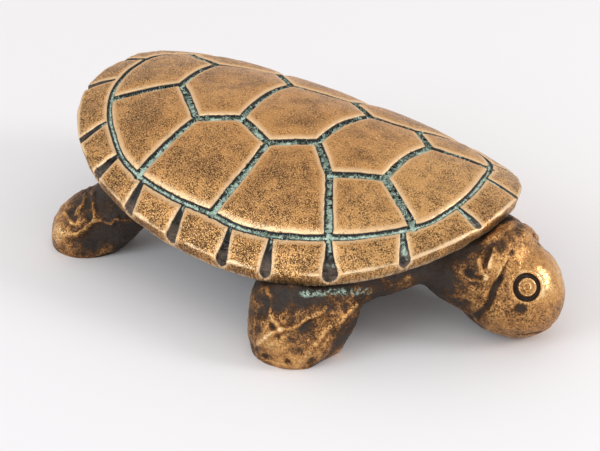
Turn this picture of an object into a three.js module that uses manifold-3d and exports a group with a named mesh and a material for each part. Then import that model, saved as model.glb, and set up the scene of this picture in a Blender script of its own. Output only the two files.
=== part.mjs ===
// A cast bronze turtle: a domed shell laid over one body casting with a head and four splayed legs.
// Millimetres. +X runs towards the head, +Y to the turtle's left, +Z up, and the soles are at Z = 0.

import * as THREE from 'three';
import { mergeVertices } from 'three/addons/utils/BufferGeometryUtils.js';
import Module from 'manifold-3d';

// The shell's outline, seen from above: half of one rounded oval in front, half of another behind.
const SHELL_CENTRE_X = -5;
const SHELL_FRONT_LENGTH = 50;
const SHELL_REAR_LENGTH = 56.4;
const SHELL_HALF_WIDTH = 37;
const FRONT_ROUNDNESS = 2.14;
const REAR_ROUNDNESS = 2.5;

// The rim droops at the sides, rises at both ends and leans down a little towards the head.
const RIM_HEIGHT = 26;
const RIM_TILT = -0.045;
const END_RISE = 1.576e-3;
const SIDE_DROOP = 5.722e-3;
const RIM_THICKNESS = 3.8;
const RIM_LOWER_EDGE = 0.955;

// The dome above the rim, and the shallow dish under it.
const DOME_HEIGHT = 11.8;
const DOME_FULLNESS = 1.62;
const DOME_SHOULDER = 0.84;
const LIP_INNER_EDGE = 0.9;
const DISH_EDGE = 0.87;
const DISH_STEP = 2.5;
const DISH_DEPTH = 5.5;

// The body under the shell.
const SEAM_GAP = 0.3;
const TRUNK_TOP_EDGE = 0.78;
const TRUNK_BULGE = 0.76;
const TRUNK_BELLY_EDGE = 0.6;
const BELLY_HEIGHT = 9;
const BELLY_SIDE_HEIGHT = 11.5;

// Brings the middle of the whole turtle's length to X = 0.
const CENTRING = 0.38;

const ROUND_STEPS = 72;
const LIMB_STEPS = 22;

// Each limb is a run of oval sections: centre x, y, z, then half the width and half the depth.
const FRONT_LEG = [
  [15.5, -18, 17, 12.2, 6.5],
  [15, -25.4, 13, 12.4, 8.2],
  [15.1, -30.2, 8.5, 12.3, 10],
  [14.8, -32.4, 3, 11.5, 11.3],
  [14.4, -33.2, -6, 10.2, 11.4],
];
const REAR_LEG = [
  [-37, -13, 19, 8.8, 7],
  [-41, -17.4, 16, 8.2, 7.2],
  [-44, -21.4, 9.5, 8.6, 7.2],
  [-50.6, -24.8, 3, 9.6, 9.2],
  [-52, -25.6, -6, 9.2, 9.2],
];
const SHOULDER = [
  [17, -25, 12, 7.5, 8],
  [24, -18.6, 15.2, 7, 6.2],
  [30, -12.5, 17.2, 7, 5.6],
  [36, -7, 17, 7, 5.8],
];
const NECK = [
  [20, 0, 16.8, 14, 7],
  [31, 0, 16.6, 14, 8],
  [38, 0, 15.4, 13.6, 10.2],
  [44, 0, 14.2, 12.6, 11.4],
  [49, 0, 12.4, 10.8, 11.4],
];

// The head, and the collar of skin just behind it: ovals that lean down in front.
const HEAD = { centre: [47.6, 0, 11.1], half: [13.5, 10.6, 11.3], lean: THREE.MathUtils.degToRad(18.5) };
const COLLAR = { centre: [47.2, 0, 13], half: [4.4, 11, 12.2], lean: THREE.MathUtils.degToRad(12) };

const wasm = await Module();
wasm.setup();

function outlinePoint(angle) {
  const c = Math.cos(angle);
  const s = Math.sin(angle);
  const length = c > 0 ? SHELL_FRONT_LENGTH : SHELL_REAR_LENGTH;
  const power = 2 / (c > 0 ? FRONT_ROUNDNESS : REAR_ROUNDNESS);
  return [
    Math.sign(c) * length * Math.abs(c) ** power,
    Math.sign(s) * SHELL_HALF_WIDTH * Math.abs(s) ** power,
  ];
}

function rimHeight(x, y) {
  return RIM_HEIGHT + RIM_TILT * x + END_RISE * x * x - SIDE_DROOP * y * y;
}

function domeRise(reach) {
  return DOME_HEIGHT * Math.max(0, 1 - reach ** DOME_FULLNESS) ** DOME_SHOULDER;
}

function dishRise(reach) {
  if (reach >= LIP_INNER_EDGE) return -RIM_THICKNESS;
  return DISH_STEP - RIM_THICKNESS + DISH_DEPTH * Math.max(0, 1 - (reach / DISH_EDGE) ** 2);
}

// Turns a round profile of [reach, rise] points, then draws it out to the shell's outline and rim.
function onOutline(profile) {
  const points = profile.map(([reach], row) => new THREE.Vector2(reach, -row));
  const geometry = new THREE.LatheGeometry(points, ROUND_STEPS);
  const place = geometry.attributes.position;
  for (let i = 0; i < place.count; i += 1) {
    const [reach, rise, flat] = profile[Math.round(-place.getY(i))];
    const angle = Math.atan2(place.getX(i), place.getZ(i));
    const [edgeX, edgeY] = outlinePoint(angle);
    const x = edgeX * reach;
    const y = edgeY * reach;
    const z = flat ? rise : rimHeight(x, y) + rise;
    place.setXYZ(i, SHELL_CENTRE_X + x, y, z);
  }
  return geometry;
}

// A grown profile is the same shell with a skin of that thickness on every side.
function shellProfile(grow = 0) {
  const wider = grow / SHELL_HALF_WIDTH;
  const dome = [0, 0.1, 0.2, 0.3, 0.4, 0.5, 0.6, 0.68, 0.76, 0.83, 0.89, 0.94, 0.975, 1];
  const dish = [LIP_INNER_EDGE, DISH_EDGE, 0.75, 0.6, 0.45, 0.3, 0.15, 0];
  return [
    ...dome.map((reach) => [reach * (1 + wider), domeRise(reach) + grow]),
    [0.99 + wider, 0.5 - RIM_THICKNESS - grow],
    [RIM_LOWER_EDGE, -RIM_THICKNESS - grow],
    ...dish.map((reach) => [Math.max(0, reach - wider), dishRise(reach) - grow]),
  ];
}

function trunkProfile() {
  const top = [0, 0.15, 0.3, 0.45, 0.6, TRUNK_TOP_EDGE];
  return [
    ...top.map((reach) => [reach, dishRise(reach) - SEAM_GAP]),
    [TRUNK_BULGE, BELLY_SIDE_HEIGHT + 2.5, true],
    [0.7, BELLY_SIDE_HEIGHT, true],
    [TRUNK_BELLY_EDGE, BELLY_HEIGHT + 0.8, true],
    [0.4, BELLY_HEIGHT, true],
    [0, BELLY_HEIGHT, true],
  ];
}

// Draws a sphere out along a smooth line through the sections, with a round cap at each end.
function limb(sections) {
  const line = new THREE.CatmullRomCurve3(sections.map(([x, y, z]) => new THREE.Vector3(x, y, z)));
  const rows = 14;
  const geometry = new THREE.SphereGeometry(1, LIMB_STEPS, rows);
  const place = geometry.attributes.position;
  for (let i = 0; i < place.count; i += 1) {
    const polar = Math.acos(THREE.MathUtils.clamp(place.getY(i), -1, 1));
    const along = (1 - Math.cos(polar)) / 2;
    const round = Math.atan2(place.getZ(i), place.getX(i));
    const at = along * (sections.length - 1);
    const before = Math.min(Math.floor(at), sections.length - 2);
    const part = at - before;
    const width = THREE.MathUtils.lerp(sections[before][3], sections[before + 1][3], part);
    const depth = THREE.MathUtils.lerp(sections[before][4], sections[before + 1][4], part);
    const centre = line.getPoint(along);
    const ahead = line.getTangent(along);
    const side = new THREE.Vector3(-ahead.y, ahead.x, 0).normalize();
    const up = new THREE.Vector3().crossVectors(ahead, side);
    const cap = Math.sin(polar) ** 0.45;
    const point = centre
      .addScaledVector(side, Math.cos(round) * width * cap)
      .addScaledVector(up, Math.sin(round) * depth * cap);
    place.setXYZ(i, point.x, point.y, point.z);
  }
  return geometry;
}

function mirrored(geometry) {
  const copy = geometry.clone();
  copy.scale(1, -1, 1);
  const order = copy.index.array;
  for (let i = 0; i < order.length; i += 3) {
    [order[i], order[i + 1]] = [order[i + 1], order[i]];
  }
  return copy;
}

function signedVolume(geometry) {
  const place = geometry.attributes.position;
  const order = geometry.index.array;
  const a = new THREE.Vector3();
  const b = new THREE.Vector3();
  const c = new THREE.Vector3();
  let sum = 0;
  for (let i = 0; i < order.length; i += 3) {
    a.fromBufferAttribute(place, order[i]);
    b.fromBufferAttribute(place, order[i + 1]);
    c.fromBufferAttribute(place, order[i + 2]);
    sum += a.dot(b.cross(c));
  }
  return sum;
}

// One closed body with its faces pointing out.
function solid(source) {
  const bare = source.clone();
  bare.deleteAttribute('normal');
  bare.deleteAttribute('uv');
  const geometry = mergeVertices(bare, 1e-4);
  const order = Uint32Array.from(geometry.index.array);
  if (signedVolume(geometry) < 0) {
    for (let i = 0; i < order.length; i += 3) {
      [order[i], order[i + 1]] = [order[i + 1], order[i]];
    }
  }
  const mesh = new wasm.Mesh({
    numProp: 3,
    vertProperties: Float32Array.from(geometry.attributes.position.array),
    triVerts: order,
  });
  return new wasm.Manifold(mesh);
}

function asGeometry(body) {
  const mesh = body.getMesh();
  const geometry = new THREE.BufferGeometry();
  geometry.setAttribute('position', new THREE.BufferAttribute(mesh.vertProperties, 3));
  geometry.setIndex(new THREE.BufferAttribute(mesh.triVerts, 1));
  geometry.computeVertexNormals();
  return geometry;
}

function ovalGeometry({ centre, half, lean }) {
  const geometry = new THREE.SphereGeometry(1, 32, 20);
  geometry.scale(...half);
  geometry.rotateY(lean);
  geometry.translate(...centre);
  return geometry;
}

function groundGeometry() {
  const geometry = new THREE.BoxGeometry(200, 200, 40);
  geometry.translate(0, 0, -20);
  return geometry;
}

const shellMetal = new THREE.MeshStandardMaterial({ color: 0xa87444, roughness: 0.45, metalness: 0.9 });
const bodyMetal = new THREE.MeshStandardMaterial({ color: 0x8a5c34, roughness: 0.5, metalness: 0.9 });

function makeShell() {
  const mesh = new THREE.Mesh(asGeometry(solid(onOutline(shellProfile()))), shellMetal);
  mesh.name = 'shell';
  return mesh;
}

function makeBody() {
  const pieces = [
    limb(FRONT_LEG),
    mirrored(limb(FRONT_LEG)),
    limb(REAR_LEG),
    mirrored(limb(REAR_LEG)),
    limb(SHOULDER),
    mirrored(limb(SHOULDER)),
    limb(NECK),
    ovalGeometry(HEAD),
    ovalGeometry(COLLAR),
  ];
  let body = solid(onOutline(trunkProfile()));
  for (const piece of pieces) body = body.add(solid(piece));
  body = body.subtract(solid(onOutline(shellProfile(SEAM_GAP))));
  body = body.subtract(solid(groundGeometry()));
  const mesh = new THREE.Mesh(asGeometry(body), bodyMetal);
  mesh.name = 'body';
  return mesh;
}

const turtle = new THREE.Group();
turtle.add(makeShell(), makeBody());
turtle.position.x = CENTRING;

export default turtle;
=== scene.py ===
import math

import bmesh
import bpy
import numpy as np
from mathutils import Matrix, Vector


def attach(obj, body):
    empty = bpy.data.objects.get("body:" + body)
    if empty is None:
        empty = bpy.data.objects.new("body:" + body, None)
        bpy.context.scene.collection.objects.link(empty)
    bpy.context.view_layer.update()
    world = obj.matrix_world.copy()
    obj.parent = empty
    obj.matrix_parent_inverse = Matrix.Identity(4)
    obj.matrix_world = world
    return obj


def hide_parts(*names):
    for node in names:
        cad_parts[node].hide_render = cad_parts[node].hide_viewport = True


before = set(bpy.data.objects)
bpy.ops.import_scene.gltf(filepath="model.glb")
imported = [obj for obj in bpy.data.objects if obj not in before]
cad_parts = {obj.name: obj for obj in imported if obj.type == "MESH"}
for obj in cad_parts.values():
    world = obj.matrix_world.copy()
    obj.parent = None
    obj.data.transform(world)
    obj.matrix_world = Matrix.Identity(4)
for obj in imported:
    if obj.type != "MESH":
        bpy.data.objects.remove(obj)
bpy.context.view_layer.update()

# Sizes are in millimetres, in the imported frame: +X to the head, +Y to the turtle's left, +Z up.
MM = 0.001

# The shell's outline and rim, measured from the middle of the shell.
SHELL_MIDDLE_X = -4.62
SHELL_FRONT = 50.0
SHELL_REAR = 56.4
SHELL_HALF_WIDTH = 37.0
FRONT_ROUNDNESS = 2.14
REAR_ROUNDNESS = 2.5
RIM_HEIGHT = 26.0
RIM_TILT = -0.045
END_RISE = 1.576e-3
SIDE_DROOP = 5.722e-3
DOME_HEIGHT = 11.8
DOME_FULLNESS = 1.62
DOME_SHOULDER = 0.84

# Where the grooves meet, from the middle of the shell: right side, then left side.
CORNERS = {
    "back 5 to 4": ((-33.1, -4.2), (-34.0, 10.3)),
    "side of 4": ((-21.3, -13.7), (-21.3, 17.9)),
    "back 4 to 3": ((-11.6, -9.7), (-12.1, 10.0)),
    "side of 3": ((-1.5, -13.4), (2.5, 14.3)),
    "back 3 to 2": ((8.3, -8.4), (10.5, 9.1)),
    "side of 2": ((15.7, -14.6), (20.4, 13.3)),
    "back 2 to 1": ((26.5, -9.1), (27.1, 8.1)),
    "front": ((38.6, -16.1), (39.1, 14.6)),
    "rear": ((-45.5, -14.8), (-46.0, 15.0)),
    "foot of 4": ((-25.7, -29.3), (-25.7, 29.6)),
    "foot of 3": ((-3.8, -30.9), (-1.5, 31.0)),
    "foot of 2": ((23.8, -26.4), (26.0, 26.0)),
}
# The ring groove's reach, as a part of the outline's, at some angles from the head's side.
RING_REACH = (
    (0, 0.855), (11, 0.842), (28, 0.868), (60, 0.85), (90, 0.845), (120, 0.86), (140, 0.872),
    (156, 0.858), (173, 0.902), (190, 0.873), (200, 0.86), (211, 0.857), (222, 0.877),
    (235, 0.864), (262, 0.838), (275, 0.852), (311, 0.836), (323, 0.847), (342, 0.876),
)
# Where the rim's grooves start at the ring, where they end, and half their width there.
RIM_GROOVES = (
    ((-50.5, -7.9), (-54.2, -11.4), 0.9), ((-42.0, -21.4), (-45.0, -25.8), 1.0),
    ((-33.0, -27.0), (-35.4, -30.6), 1.2), ((-23.8, -29.8), (-23.8, -34.9), 1.5),
    ((-11.2, -31.4), (-10.8, -36.2), 1.5), ((1.9, -31.6), (3.0, -36.3), 1.4),
    ((12.0, -30.8), (13.7, -35.2), 1.4), ((23.9, -26.4), (27.4, -31.2), 1.7),
    ((37.2, -18.3), (40.4, -22.4), 1.3), ((42.6, -6.0), (47.6, -6.8), 0.9),
    ((41.3, 8.4), (47.6, 9.0), 0.7), ((37.2, 19.0), (40.0, 23.4), 1.1),
    ((24.6, 27.0), (27.5, 31.5), 1.3), ((12.6, 31.0), (14.0, 35.6), 1.3),
    ((2.4, 31.6), (2.8, 36.2), 1.4), ((-10.8, 31.8), (-11.0, 36.2), 1.4),
    ((-23.4, 30.2), (-24.0, 34.9), 1.3), ((-33.2, 27.4), (-35.6, 31.0), 1.2),
    ((-42.4, 21.4), (-45.4, 25.4), 1.0), ((-50.8, 4.5), (-54.8, 3.4), 0.9),
)

# The grooves between the scutes: half their width at the top, how far some bow to the head, their depth,
# and the width of their walls. Those down the sides widen to the foot.
GROOVE_HALF_WIDTH = 0.88
SIDE_GROOVE_FOOT = 1.0
SIDE_GROOVE_BOW = {"4": 0.0, "3": 0.6, "2": 0.0}
CROSS_GROOVE_HALF_WIDTH = 0.84
CROSS_GROOVE_BOW = -0.5
GROOVE_DEPTH = 0.85
GROOVE_WALL = 0.42
WALL_TOP = 0.03
# The groove that rings the scutes has less verdigris in it.
RING_HALF_WIDTH = 0.64
RING_DEPTH = 0.65
RING_GREEN = 0.3
RING_STEPS = 300
RING_SOFTENING = 9
# The rim's grooves widen into notches, which lose their verdigris on the way out and end round.
RIM_GROOVE_START = 0.5
RIM_GROOVE_DEPTH = 0.6
RIM_GROOVE_OVERRUN = 1.0
RIM_GREEN_FROM, RIM_GREEN_TO = 12, 34
NOTCH_GREEN_LOSS = 1.3
NOTCH_SHALLOW_START = 0.45
NOTCH_END_ROUNDNESS = 0.25

# The scutes' crowns, which fade out at the rim, and the lip that runs along the rim's crease.
SCUTE_CROWN = 0.6
SCUTE_CROWN_REACH = 2.6
CROWN_FADE = (0.86, 0.97)
SHOULDER_DROP = 0.22
SHOULDER_REACH = 0.5
LIP_HEIGHT = 0.24
LIP_WIDTH = 0.36
LIP_EVENNESS = 0.65
RIM_WAVES_FROM = 0.97
RIM_WAVE_ROWS = 5
# Where the finish changes: the ends along X, brighter as worn polish and painted highlight, and the band and
# its lip below the crease; that lower lip is brightened as a worn edge and painted highlight.
BRIGHTER_FRONT = (14, 36)
BRIGHTER_REAR = (-28, -45)
BAND_TOP = (0.2, 0.7)
BAND_FOOT = (3.2, 3.9)
LOWER_LIP_HIGHLIGHT = (1.9, 2.9)

# Unevenness left by the casting and the cutting: height or share, size of its lumps, octaves, seed.
GROOVE_WANDER = ((0.1, 2.6, 1, 3), (0.07, 0.9, 1, 4))
SCUTE_DENTS = ((0.1, 7.0, 3, 11), (0.035, 1.6, 2, 12))
GROOVE_FLOOR_GRAIN = ((0.12, 1.1, 2, 13),)
GROOVE_DEPTH_WANDER = ((0.15, 3.0, 1, 14),)
RIM_WAVES = ((0.2, 4.0, 3, 21),)
LIP_WEAR = ((0.35, 5.0, 2, 22),)
BODY_RELIEF = ((0.75, 5.0, 3, 41), (0.5, 1.7, 3, 42))
BODY_RIDGES = ((1.0, 2.6, 2, 43),)
RIDGE_LEVEL = 0.45
# The head starts between these places, and its skin is this much smoother.
HEAD_STARTS = (48, 51)
HEAD_SMOOTHNESS = 0.75
# Painted shade: the body's colour darkens under the shell's rim (by reach) and in the seam (by millimetres),
# to no more than this.
PAINTED_SHADE_UNDER_RIM = (0.84, 1.03)
PAINTED_SHADE_IN_SEAM = (0.5, 4.5)
DARKEST_WEAR_AND_SHADE = -1.5
# The relief dies out over this height at the soles and under the shell.
RELIEF_FADE = (0.0, 1.2)
FEATURE_WOBBLE = 0.3
FEATURE_WOBBLE_SIZE = 2.2
FEATURE_WOBBLE_SEEDS = (31, 32, 33)

# How fine the shell's disc is, and where its faces are halved: clear distances from a groove's shoulder.
DISC_RINGS = 56
HALVED_NEAR_GROOVES = ((-9, 1.5), (-0.62, 0.3))
WALL_SLACK = 0.16
FAR_FROM_GROOVES = 9.0
GROOVE_SEARCH = 3.5

# The limbs, as in the CAD part: runs of oval sections, each a centre, half a width and half a depth.
CENTRING = 0.38
FRONT_LEG = (
    (15.5, -18, 17, 12.2, 6.5), (15, -25.4, 13, 12.4, 8.2), (15.1, -30.2, 8.5, 12.3, 10),
    (14.8, -32.4, 3, 11.5, 11.3), (14.4, -33.2, -6, 10.2, 11.4),
)
REAR_LEG = (
    (-37, -13, 19, 8.8, 7), (-41, -17.4, 16, 8.2, 7.2), (-44, -21.4, 9.5, 8.6, 7.2),
    (-50.6, -24.8, 3, 9.6, 9.2), (-52, -25.6, -6, 9.2, 9.2),
)
SHOULDER = (
    (17, -25, 12, 7.5, 8), (24, -18.6, 15.2, 7, 6.2), (30, -12.5, 17.2, 7, 5.6), (36, -7, 17, 7, 5.8),
)
NECK = (
    (20, 0, 16.8, 14, 7), (31, 0, 16.6, 14, 8), (38, 0, 15.4, 13.6, 10.2), (44, 0, 14.2, 12.6, 11.4),
    (49, 0, 12.4, 10.8, 11.4),
)
# The head, and the collar of skin behind it: an oval's centre, half its size, and its lean in degrees.
HEAD = ((47.6, 0, 11.1), (13.5, 10.6, 11.3), 18.5)
COLLAR = ((47.2, 0, 13), (4.4, 11, 12.2), 12)
CAP_ROUNDNESS = 0.45
SEAM_GAP = 0.3
TRUNK_SIDE_REACH = 0.78
# From the trunk's top edge down its side and under its belly: part of the way, reach, height.
TRUNK_SIDE = (
    (0.5, 0.78, 16), (0.58, 0.76, 14), (0.66, 0.7, 11.5), (0.74, 0.6, 9.8), (0.86, 0.4, 9), (1, 0, 9),
)
# Beyond the shell's rim the body is free to rise: from this reach, and this steeply.
OPEN_FROM_REACH = 0.985
OPEN_SLOPE = 150
SOLE_ALLOWANCE = 2.0
SKIN_SIZE = 0.8
SKIN_SMOOTHINGS = 6
# Where the skin's faces are halved: the head and neck, the legs outside the trunk, and twice at the eyes.
HEAD_DETAIL_FROM = 40
LEG_DETAIL_REACH = 0.86
LEG_DETAIL_SIDE = 14
EYE_DETAIL_RADII = (4.2, 3.4)

# Folds and creases of the right-hand side: a line, half its width, its height, and its wear
# (above 0 for polished high metal, brightened along the folds as worn metal and painted highlight; below 0
# for dark hollows).
LEG_LINES = (
    (((10.5, -36.2, 14.9), (13.0, -38.5, 13.7), (14.9, -40.4, 10.9), (17.3, -41.0, 9.4)), 1.18, 0.61, 1.0),
    (((17.3, -41.0, 9.4), (19.9, -39.6, 10.2), (22.1, -37.2, 12.1), (23.7, -34.0, 13.3)), 1.18, 0.58, 0.9),
    (((17.3, -41.1, 9.2), (15.2, -41.8, 7.7), (12.1, -42.3, 4.7)), 1.12, 0.50, 0.9),
    (((23.6, -37.7, 6.0), (24.6, -35.9, 7.9), (25.4, -33.9, 9.3), (25.9, -31.3, 11.0), (26.3, -27.6, 12.0)),
     1.12, 0.65, 0.9),
    (((8.7, -38.8, 11.3), (10.4, -40.7, 7.3), (11.0, -41.6, 3.3)), 0.99, 0.22, 0.5),
    (((21.1, -39.9, 7.2), (23.1, -38.0, 6.8), (24.1, -36.7, 4.2)), 0.81, 0.18, 0.4),
    (((-51.2, -24.1, 15.7), (-50.1, -26.2, 14.1), (-48.0, -28.8, 12.8), (-48.2, -29.8, 11.5),
      (-48.6, -31.5, 8.2)), 1.05, 0.65, 0.7),
    (((-48.2, -25.8, 15.3), (-46.2, -27.9, 14.2), (-44.1, -29.1, 12.6), (-43.5, -29.9, 10.1)),
     0.99, 0.65, 0.5),
    (((-52.5, -30.2, 9.2), (-50.3, -31.1, 8.8), (-47.9, -31.4, 8.1)), 0.93, 0.50, 0.8),
    (((-49.4, -32.2, 5.3), (-46.8, -31.6, 6.7), (-45.5, -31.0, 7.7), (-43.5, -29.9, 10.0),
      (-41.6, -29.0, 10.2), (-40.3, -28.1, 9.7), (-39.5, -27.5, 11.0), (-38.2, -24.6, 11.0)),
     1.12, 0.86, 0.9),
)
NECK_LINES = (
    (((45.6, -8.4, 19.9), (46.7, -8.2, 18.4), (48.1, -8.9, 17.3)), 1.1, 0.5, 1.1),
    (((48.0, -5.1, 21.1), (48.3, -6.6, 20.0), (48.5, -7.8, 18.8)), 1.0, 0.6, 1.1),
    (((50.1, -5.0, 20.8), (50.0, -6.6, 19.6), (50.0, -8.2, 17.9)), 0.9, 0.5, 1.1),
    (((45.7, -5.4, 22.3), (47.0, -1.9, 22.5), (47.7, 1.7, 22.4)), 2.4, 0.6, 0.5),
    (((43.1, -11.3, 18.1), (45.2, -10.5, 16.3), (46.7, -9.4, 16.3), (48.2, -9.1, 16.9)), 0.8, 0.35, 1.0),
    (((49.6, -4.0, 21.3), (50.3, -6.6, 19.6), (50.6, -8.2, 17.5)), 0.9, -0.55, -1.0),
    (((50.6, -8.2, 17.5), (50.4, -9.6, 14.7), (49.6, -10.5, 11.7), (47.3, -10.2, 8.3), (46.1, -9.6, 6.4)),
     1.15, -0.9, -1.3),
    (((46.8, -5.6, 21.2), (46.9, -6.8, 19.5), (47.4, -8.2, 18.0)), 0.8, -0.5, -0.9),
    (((55.5, -6.3, 3.9), (57.6, -4.4, 3.9), (58.8, -2.4, 4.2), (60.4, 0.0, 5.2)), 0.6, -0.4, -1.2),
)
# Knobs and hollows of the right-hand side: centre, radius, height, wear.
# The wide dark spots high on the legs and shoulder, just under the shell's rim, are painted shade;
# the wide bright spot on the front of the head is a painted highlight.
LEG_SPOTS = (
    ((13.9, -42.7, 1.9), 1.0, -0.5, -1.2), ((19.6, -41.3, 2.4), 1.2, -0.5, -1.2),
    ((15.8, -41.4, 9.8), 1.3, -0.5, -0.9), ((16.9, -41.6, 7.8), 1.2, -0.45, -0.9),
    ((11.0, -39.3, 11.5), 3.4, -0.9, -0.8), ((22.5, -38.1, 10.1), 2.4, -0.5, -0.5),
    ((18.0, -42.1, 4.2), 6.5, 0.0, 0.45), ((18.4, -38.6, 12.1), 4.0, -0.3, 0.3),
    ((26.2, -30.9, 7.1), 6.0, 0.0, -0.6), ((14.4, -36.5, 16.9), 8.0, 0.0, -1.1),
    ((22.3, -33.4, 16.3), 6.0, -0.3, -1.1),
    ((-51.8, -32.2, 4.8), 3.6, 0.7, 1.1), ((-42.6, -29.8, 6.0), 5.2, -1.2, -1.1),
    ((-38.2, -26.8, 8.6), 4.0, -0.5, -1.0), ((-51.0, -25.6, 14.4), 1.5, -0.5, -1.1),
    ((-50.3, -29.8, 10.9), 1.5, -0.5, -0.9), ((-45.2, -30.0, 10.8), 1.3, -0.6, -1.2),
    ((-48.2, -31.1, 9.4), 1.0, -0.4, -0.9), ((-44.0, -26.0, 16.0), 4.5, 0.0, -0.9),
    ((-45.5, -32.1, 2.4), 4.0, 0.0, -0.4),
)
NECK_SPOTS = (
    ((44.5, -10.8, 17.6), 1.5, -0.8, -1.4), ((56.1, -8.2, 11.7), 1.7, -0.45, -1.5),
    ((52.3, -8.4, 16.5), 0.9, -0.2, -0.6), ((52.8, -4.9, 19.8), 0.9, -0.2, -0.6),
    ((38.0, -13.5, 16.5), 6.5, 0.0, -0.9), ((46.5, -4.0, 24.0), 6.0, 0.0, -0.55),
    ((50.0, 1.0, 24.5), 2.5, -0.2, -0.5), ((47.0, -11.5, 13.1), 3.6, 0.2, 0.25),
    ((58.6, -2.1, 15.8), 6.0, 0.0, 0.55),
)
# The line along the arm where verdigris has grown.
ARM_VERDIGRIS = ((19.0, -35.4, 15.9), (22.0, -32.6, 15.6), (25.5, -28.5, 15.0), (28.5, -24.5, 14.0))
VERDIGRIS_CORE, VERDIGRIS_EDGE = 0.2, 1.1
# Flat places filed or pressed on the right-hand side: a middle, a radius, and the way each one faces.
LEG_FLATS = (
    ((17.0, -42.5, 4.5), 7.5, (0.12, -0.99, -0.10)), ((18.7, -38.2, 12.5), 6.0, (0.28, -0.78, 0.55)),
    ((23.4, -36.7, 9.3), 4.5, (0.74, -0.63, 0.24)), ((25.8, -34.4, 3.2), 9.0, (0.82, -0.16, -0.55)),
)
FLAT_SOFTNESS = 0.25
# The eyes' middles, and the way each one faces: the left one lies lower round the side.
EYES = (((56.3, -6.1, 16.2), (0.57, -0.54, 0.62)), ((54.6, 8.2, 14.6), (0.42, 0.78, 0.46)))
EYE_REACH = 3
# The smoothest, most polished place of the head.
BROW = (58.5, -1.0, 17.5)
# Outward from the middle of the eye: radius, height, wear.
EYE_PROFILE = (
    (0.0, -0.3, -0.5), (0.4, -0.2, -0.1), (0.7, 0.18, 0.6), (1.15, 0.2, -0.3),
    (1.6, 0.3, 0.2), (1.85, 0.3, 0.9), (2.05, -0.25, -0.9), (2.3, -0.7, -2.2),
    (2.75, -0.7, -2.2), (3.05, 0.05, 0.4), (3.4, 0.2, 0.6), (4.2, 0.0, 0.0),
)

# The camera, worked out from the photograph: degrees, millimetres, and the picture in pixels.
CAMERA_AZIMUTH = 35.58
CAMERA_ELEVATION = 30.11
CAMERA_DISTANCE = 420.0
CAMERA_AIM = (12.01, -26.67, 26.0)
FOCAL_PIXELS = 1975.2
PICTURE_WIDTH = 600
SENSOR_WIDTH = 36.0

# The light: a pale studio all round it, a key lamp ahead on the left, and a cooler fill on the right.
STUDIO_TINT = (1.0, 0.965, 0.945)
STUDIO_STRENGTH = 0.87
LAMP_AIM = (0, 0, 0.02)
# Each lamp's place and width in metres, its watts and its tint.
LAMPS = {
    "key": ((0.62, 0.27, 0.36), 0.26, 1.8, (0.98, 0.98, 1.0)),
    "fill": ((-0.25, -0.70, 0.42), 0.50, 2.1, (0.82, 0.92, 1.0)),
}
FLOOR_HALF_WIDTH = 3.0
FLOOR_WHITE = (0.85, 0.845, 0.86)
FLOOR_ROUGHNESS = 0.9

# Large whole numbers that scramble a cell's place and a seed into noise.
CELL_FACTORS = (374761393, 668265263, 2147483647)
SEED_FACTOR = 974634777
MIX_FACTOR = 1274126177


def lattice_value(cell, seed):
    """A repeatable number from 0 to 1 for each whole-numbered cell."""
    mixed = sum(cell[..., axis] * factor for axis, factor in enumerate(CELL_FACTORS))
    mixed = (mixed + seed * SEED_FACTOR) & 0xFFFFFFFF
    mixed = ((mixed ^ (mixed >> 13)) * MIX_FACTOR) & 0xFFFFFFFF
    return ((mixed ^ (mixed >> 16)) & 0xFFFF) / 0xFFFF


def lumps(points, size, seed):
    """Smooth noise from -1 to 1 whose lumps are about size across."""
    scaled = points / size
    cell = np.floor(scaled).astype(np.int64)
    part = scaled - cell
    part = part * part * (3 - 2 * part)
    total = np.zeros(len(points))
    for corner in range(8):
        step = np.array([corner & 1, corner >> 1 & 1, corner >> 2 & 1])
        weight = np.prod(np.where(step, part, 1 - part), axis=1)
        total += weight * lattice_value(cell + step, seed)
    return total * 2 - 1


def rough(points, size, octaves, seed):
    """Noise with finer noise on it, each octave half the size and half the height."""
    return sum(lumps(points, size / 2**i, seed + i) / 2**i for i in range(octaves))


def uneven(points, layers):
    """Layers of noise added up: each a height, the size of its lumps, its octaves and a seed."""
    return sum(height * rough(points, size, octaves, seed) for height, size, octaves, seed in layers)


def smoothstep(low, high, value):
    part = np.clip((value - low) / (high - low), 0, 1)
    return part * part * (3 - 2 * part)


def flat_points(xy):
    return np.column_stack([xy, np.zeros(len(xy))])


def unit(vector):
    return np.array(vector) / np.linalg.norm(vector)


def reach_of(x, y):
    """How far out a point lies, as a part of the outline's distance: 1 on the outline."""
    front = x > 0
    length = np.where(front, SHELL_FRONT, SHELL_REAR)
    power = np.where(front, FRONT_ROUNDNESS, REAR_ROUNDNESS)
    return (np.abs(x / length) ** power + np.abs(y / SHELL_HALF_WIDTH) ** power) ** (1 / power)


def at_reach(angle, reach):
    """The point at a reach in the direction of an angle, from the middle of the shell."""
    c, s = np.cos(angle), np.sin(angle)
    return np.stack([c, s], axis=-1) * (reach / reach_of(c, s))[..., None]


def rim_height(x, y):
    return RIM_HEIGHT + RIM_TILT * x + END_RISE * x * x - SIDE_DROOP * y * y


def dome_rise(reach):
    return DOME_HEIGHT * np.maximum(0, 1 - reach**DOME_FULLNESS) ** DOME_SHOULDER


def smooth_line(points, at):
    """Places on a smooth line through the points, and its directions there. At counts points along it."""
    points = np.array(points, dtype=float)
    padded = np.vstack([2 * points[0] - points[1], points, 2 * points[-1] - points[-2]])
    first = np.minimum(at.astype(int), len(points) - 2)
    t = (at - first)[:, None]
    a, b, c, d = (padded[first + i] for i in range(4))
    curve = (a - 2.5 * b + 2 * c - d / 2)
    twist = (1.5 * b - 1.5 * c + d / 2 - a / 2)
    place_on = b + t * (c - a) / 2 + t**2 * curve + t**3 * twist
    ahead = (c - a) / 2 + 2 * t * curve + 3 * t**2 * twist
    return place_on, ahead


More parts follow.
